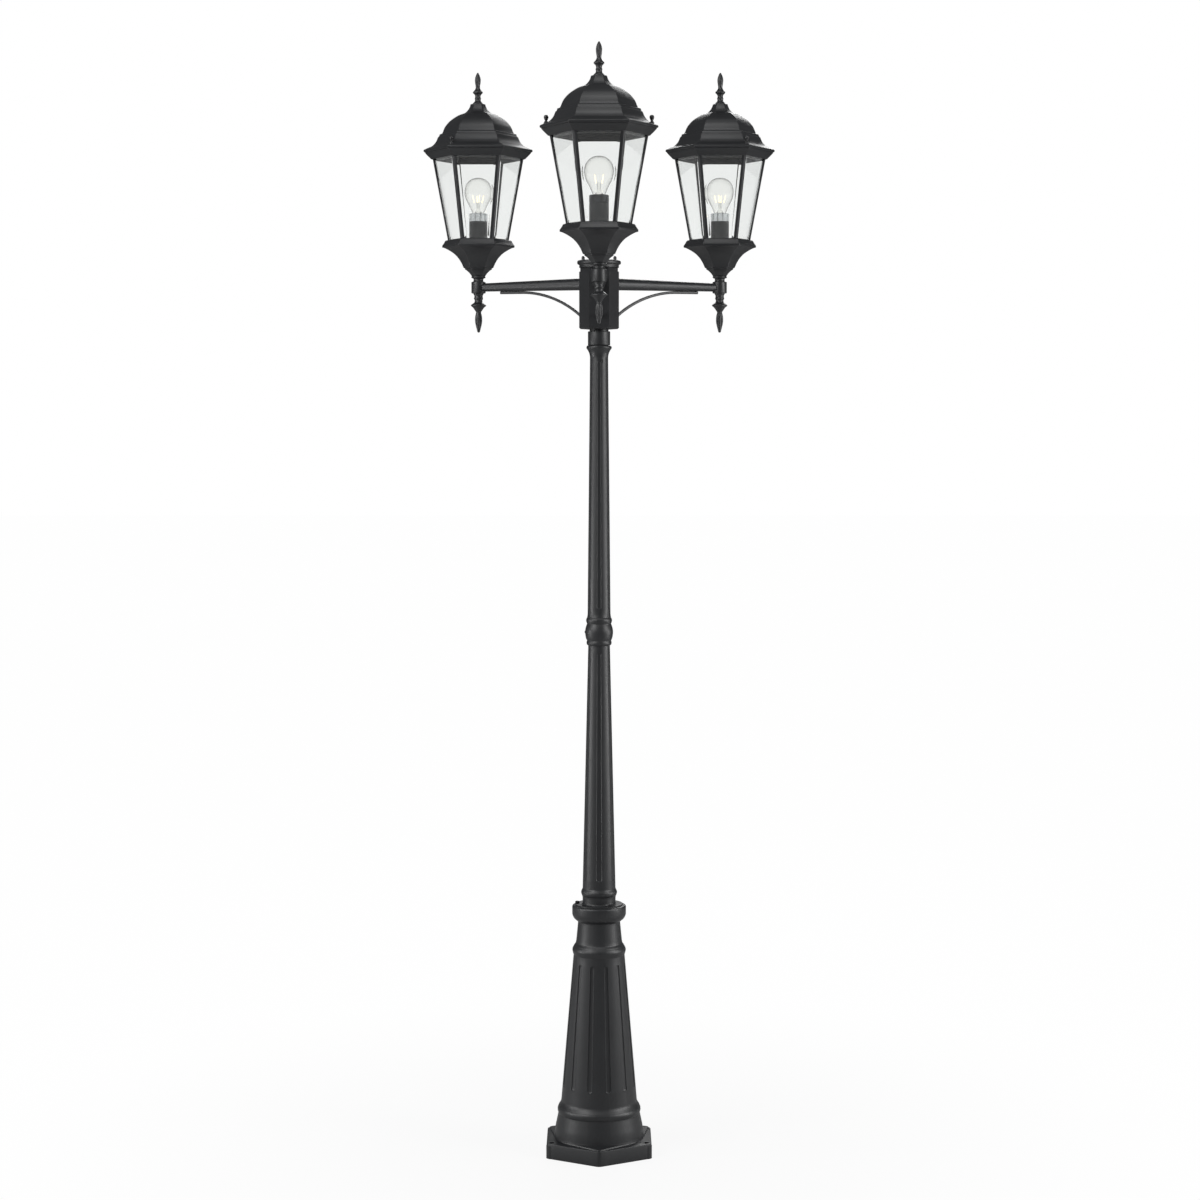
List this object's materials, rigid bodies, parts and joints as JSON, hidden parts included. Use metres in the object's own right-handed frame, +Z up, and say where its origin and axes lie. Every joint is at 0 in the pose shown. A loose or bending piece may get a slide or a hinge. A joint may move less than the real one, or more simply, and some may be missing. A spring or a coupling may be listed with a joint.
{
  "type": "triple head lamp post",
  "caption": "Fluted post on a hexagonal base carrying three hexagonal glazed lanterns on braced arms, with lift-off lids and screw-in bulbs.",
  "frame": {"origin": "centre of the ground bolt circle, on the underside of the base plate", "axes": "+Z up the post; -Y is the front, where one lantern points; the other two lanterns are turned 120 degrees to each side"},
  "size_m": [0.7744, 0.6706, 2.3658],
  "materials": {
    "black_coat": "satin black powder coat over cast aluminium",
    "black_coat_steel": "satin black powder coat over steel rod",
    "fastener_steel": "blackened steel screw",
    "plain_steel": "zinc plated",
    "pane_glass": "clear bevelled glass",
    "lampholder_black": "moulded holder with a dark sleeve",
    "bulb_cap_metal": "bright screw cap",
    "bulb_clear_glass": "clear blown glass",
    "bulb_filament": "glass stem with lit filaments"
  },
  "bodies": {
    "post": {"pedestal": "black_coat", "lower_shaft": "black_coat", "shaft_bolts": "fastener_steel", "shaft_coupling": "black_coat", "coupling_screw": "fastener_steel", "upper_shaft": "black_coat", "hub_sleeve": "black_coat", "hub_tenon": "plain_steel", "tenon_screw": "fastener_steel", "hub": "black_coat", "arm_nuts": "plain_steel", "nipples": "plain_steel", "locknuts": "plain_steel", "front_arm": "black_coat", "front_brace": "black_coat_steel", "front_lower_finial": "black_coat", "front_pan": "black_coat", "front_cage": "black_coat", "front_panes": "pane_glass", "front_lampholder": "lampholder_black", "right_arm": "black_coat", "right_brace": "black_coat_steel", "right_lower_finial": "black_coat", "right_pan": "black_coat", "right_cage": "black_coat", "right_panes": "pane_glass", "right_lampholder": "lampholder_black", "left_arm": "black_coat", "left_brace": "black_coat_steel", "left_lower_finial": "black_coat", "left_pan": "black_coat", "left_cage": "black_coat", "left_panes": "pane_glass", "left_lampholder": "lampholder_black"},
    "hub_cap_unit": {"hub_cap": "black_coat", "hub_cap_screws": "fastener_steel"},
    "front_lid_unit": {"front_lid": "black_coat", "front_top_finial": "black_coat"},
    "front_bulb": {"front_bulb_cap": "bulb_cap_metal", "front_bulb_glass": "bulb_clear_glass", "front_bulb_filament": "bulb_filament"},
    "front_knob_1": {"front_lid_knob_1": "fastener_steel"},
    "front_knob_2": {"front_lid_knob_2": "fastener_steel"},
    "right_lid_unit": {"right_lid": "black_coat", "right_top_finial": "black_coat"},
    "right_bulb": {"right_bulb_cap": "bulb_cap_metal", "right_bulb_glass": "bulb_clear_glass", "right_bulb_filament": "bulb_filament"},
    "right_knob_1": {"right_lid_knob_1": "fastener_steel"},
    "right_knob_2": {"right_lid_knob_2": "fastener_steel"},
    "left_lid_unit": {"left_lid": "black_coat", "left_top_finial": "black_coat"},
    "left_bulb": {"left_bulb_cap": "bulb_cap_metal", "left_bulb_glass": "bulb_clear_glass", "left_bulb_filament": "bulb_filament"},
    "left_knob_1": {"left_lid_knob_1": "fastener_steel"},
    "left_knob_2": {"left_lid_knob_2": "fastener_steel"}
  },
  "joints": [
    {"name": "hub_cap_lift", "type": "slide", "parent": "post", "child": "hub_cap_unit", "axis": [0, 0, 1], "range_m": [0, 0.06]},
    {"name": "front_lid_lift", "type": "slide", "parent": "post", "child": "front_lid_unit", "axis": [0, 0, 1], "range_m": [0, 0.15]},
    {"name": "front_bulb_unscrew", "type": "slide", "parent": "post", "child": "front_bulb", "axis": [0, 0, 1], "range_m": [0, 0.028]},
    {"name": "front_knob_1_turn", "type": "hinge", "parent": "front_lid_unit", "child": "front_knob_1", "pos_m": [-0.107, -0.308, 2.21], "axis": [0, 0, 1], "continuous": true},
    {"name": "front_knob_2_turn", "type": "hinge", "parent": "front_lid_unit", "child": "front_knob_2", "pos_m": [0.107, -0.308, 2.21], "axis": [0, 0, 1], "continuous": true},
    {"name": "right_lid_lift", "type": "slide", "parent": "post", "child": "right_lid_unit", "axis": [0, 0, 1], "range_m": [0, 0.15]},
    {"name": "right_bulb_unscrew", "type": "slide", "parent": "post", "child": "right_bulb", "axis": [0, 0, 1], "range_m": [0, 0.028]},
    {"name": "right_knob_1_turn", "type": "hinge", "parent": "right_lid_unit", "child": "right_knob_1", "pos_m": [0.32024, 0.06134, 2.21], "axis": [0, 0, 1], "continuous": true},
    {"name": "right_knob_2_turn", "type": "hinge", "parent": "right_lid_unit", "child": "right_knob_2", "pos_m": [0.21324, 0.24666, 2.21], "axis": [0, 0, 1], "continuous": true},
    {"name": "left_lid_lift", "type": "slide", "parent": "post", "child": "left_lid_unit", "axis": [0, 0, 1], "range_m": [0, 0.15]},
    {"name": "left_bulb_unscrew", "type": "slide", "parent": "post", "child": "left_bulb", "axis": [0, 0, 1], "range_m": [0, 0.028]},
    {"name": "left_knob_1_turn", "type": "hinge", "parent": "left_lid_unit", "child": "left_knob_1", "pos_m": [-0.21324, 0.24666, 2.21], "axis": [0, 0, 1], "continuous": true},
    {"name": "left_knob_2_turn", "type": "hinge", "parent": "left_lid_unit", "child": "left_knob_2", "pos_m": [-0.32024, 0.06134, 2.21], "axis": [0, 0, 1], "continuous": true}
  ]
}
